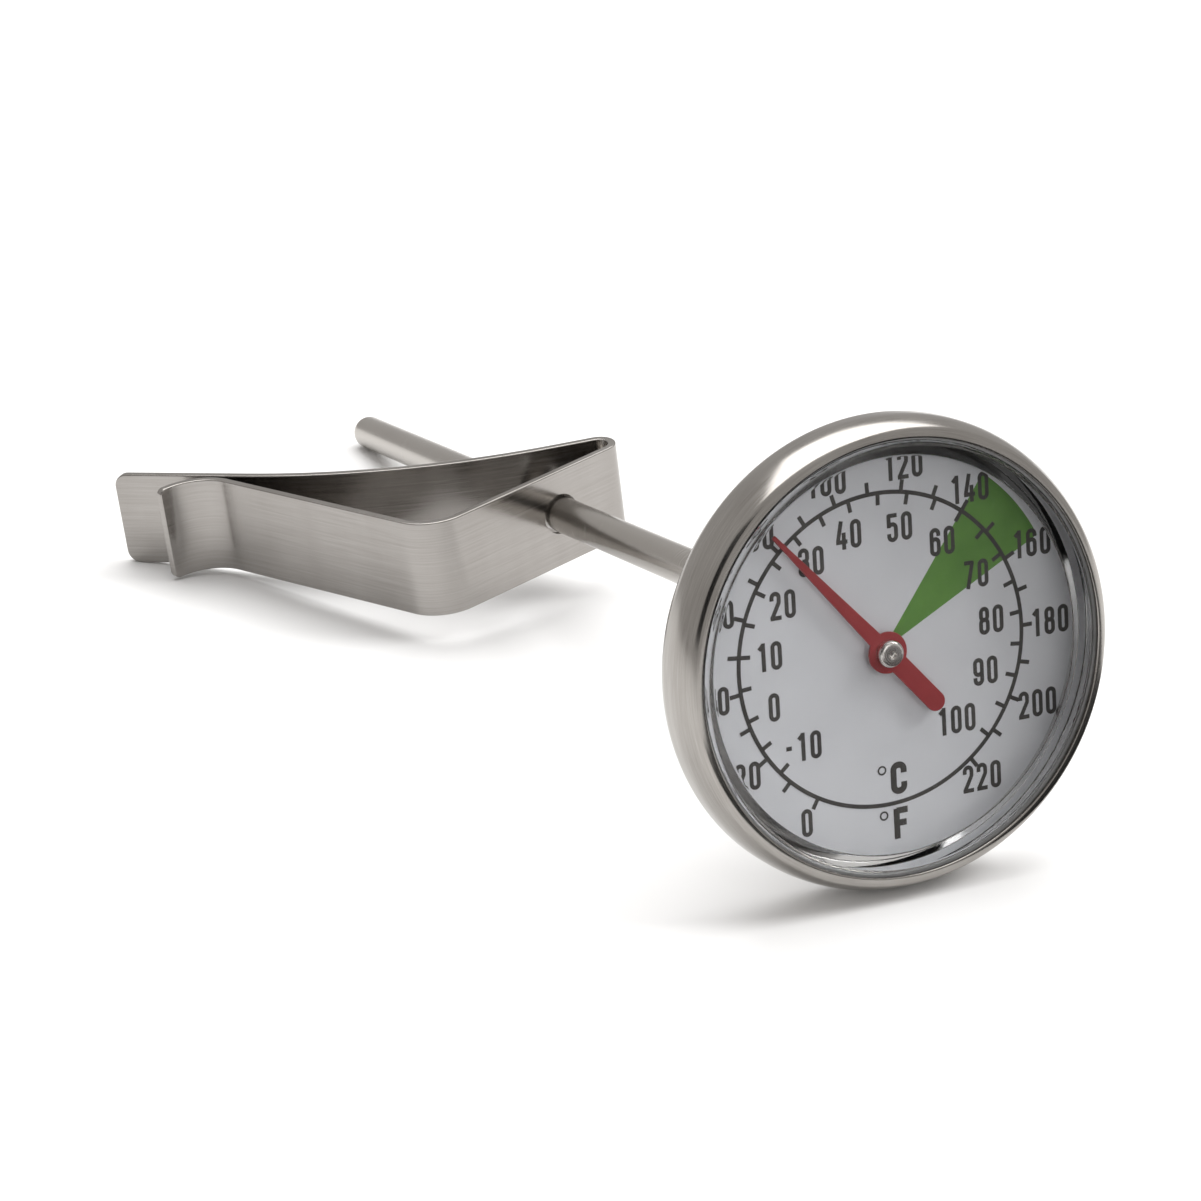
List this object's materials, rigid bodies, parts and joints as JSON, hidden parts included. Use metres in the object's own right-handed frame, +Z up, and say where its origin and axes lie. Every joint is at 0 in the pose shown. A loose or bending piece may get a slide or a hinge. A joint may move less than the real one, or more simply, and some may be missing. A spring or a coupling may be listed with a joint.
{
  "type": "dial thermometer",
  "caption": "Bimetal dial thermometer with a long straight stem and a sprung strip clip that hangs it on the edge of a pan or jug.",
  "frame": {"origin": "middle of the bottom of the whole object's box, on the table that it lies on", "axes": "+Z up; the dial faces -Y and a little up; the stem runs towards +Y and down to its tip; the clip reaches to -X"},
  "size_m": [0.0636, 0.1416, 0.0448],
  "materials": {
    "case_steel": "circular satin brushing",
    "stem_steel": "ground bright",
    "clip_steel": "rolled strip, glossy satin",
    "clear_cover": "clear polished",
    "seal_rubber": "matt",
    "dial_print": "satin white enamel with a printed scale",
    "pointer_red": "satin red paint",
    "bearing_brass": "turned",
    "bimetal": "dull rolled"
  },
  "bodies": {
    "stem": {"stem_tube": "stem_steel", "stem_tip": "stem_steel", "stem_collar": "stem_steel", "friction_washer": "stem_steel", "calibration_nut": "stem_steel", "upper_bearing": "bearing_brass", "lower_bearing": "bearing_brass", "coil_anchor": "stem_steel", "bimetal_coil": "bimetal"},
    "head": {"bezel_shell": "case_steel", "lens": "clear_cover", "lens_gasket": "seal_rubber", "dial_plate": "dial_print", "back_plate": "case_steel", "back_seal": "seal_rubber"},
    "pointer": {"pointer_shaft": "stem_steel", "shaft_collar": "bearing_brass", "pointer": "pointer_red", "pointer_hub": "stem_steel"},
    "clip": {"clip_back": "clip_steel"},
    "clip_jaw": {"clip_jaw": "clip_steel"}
  },
  "joints": [
    {"name": "calibration_turn", "type": "hinge", "parent": "stem", "child": "head", "pos_m": [0.00935, -0.06608, 0.02274], "axis": [0, -0.9884, 0.1516], "continuous": true},
    {"name": "pointer_turn", "type": "hinge", "parent": "stem", "child": "pointer", "pos_m": [0.00935, -0.06608, 0.02274], "axis": [0, -0.9884, 0.1516], "range_deg": [-185, 108.5], "stiffness_Nm_per_rad": 0.0002, "deforming": ["bimetal_coil"]},
    {"name": "clip_slide", "type": "slide", "parent": "stem", "child": "clip", "axis": [0, 0.9884, -0.1516], "range_m": [-0.056, 0.042]},
    {"name": "jaw_open", "type": "hinge", "parent": "clip", "child": "clip_jaw", "pos_m": [-0.00942, 0.00873, 0.00819], "axis": [-0.1279, 0, 0.9918], "range_deg": [0, 8], "stiffness_Nm_per_rad": 2}
  ]
}
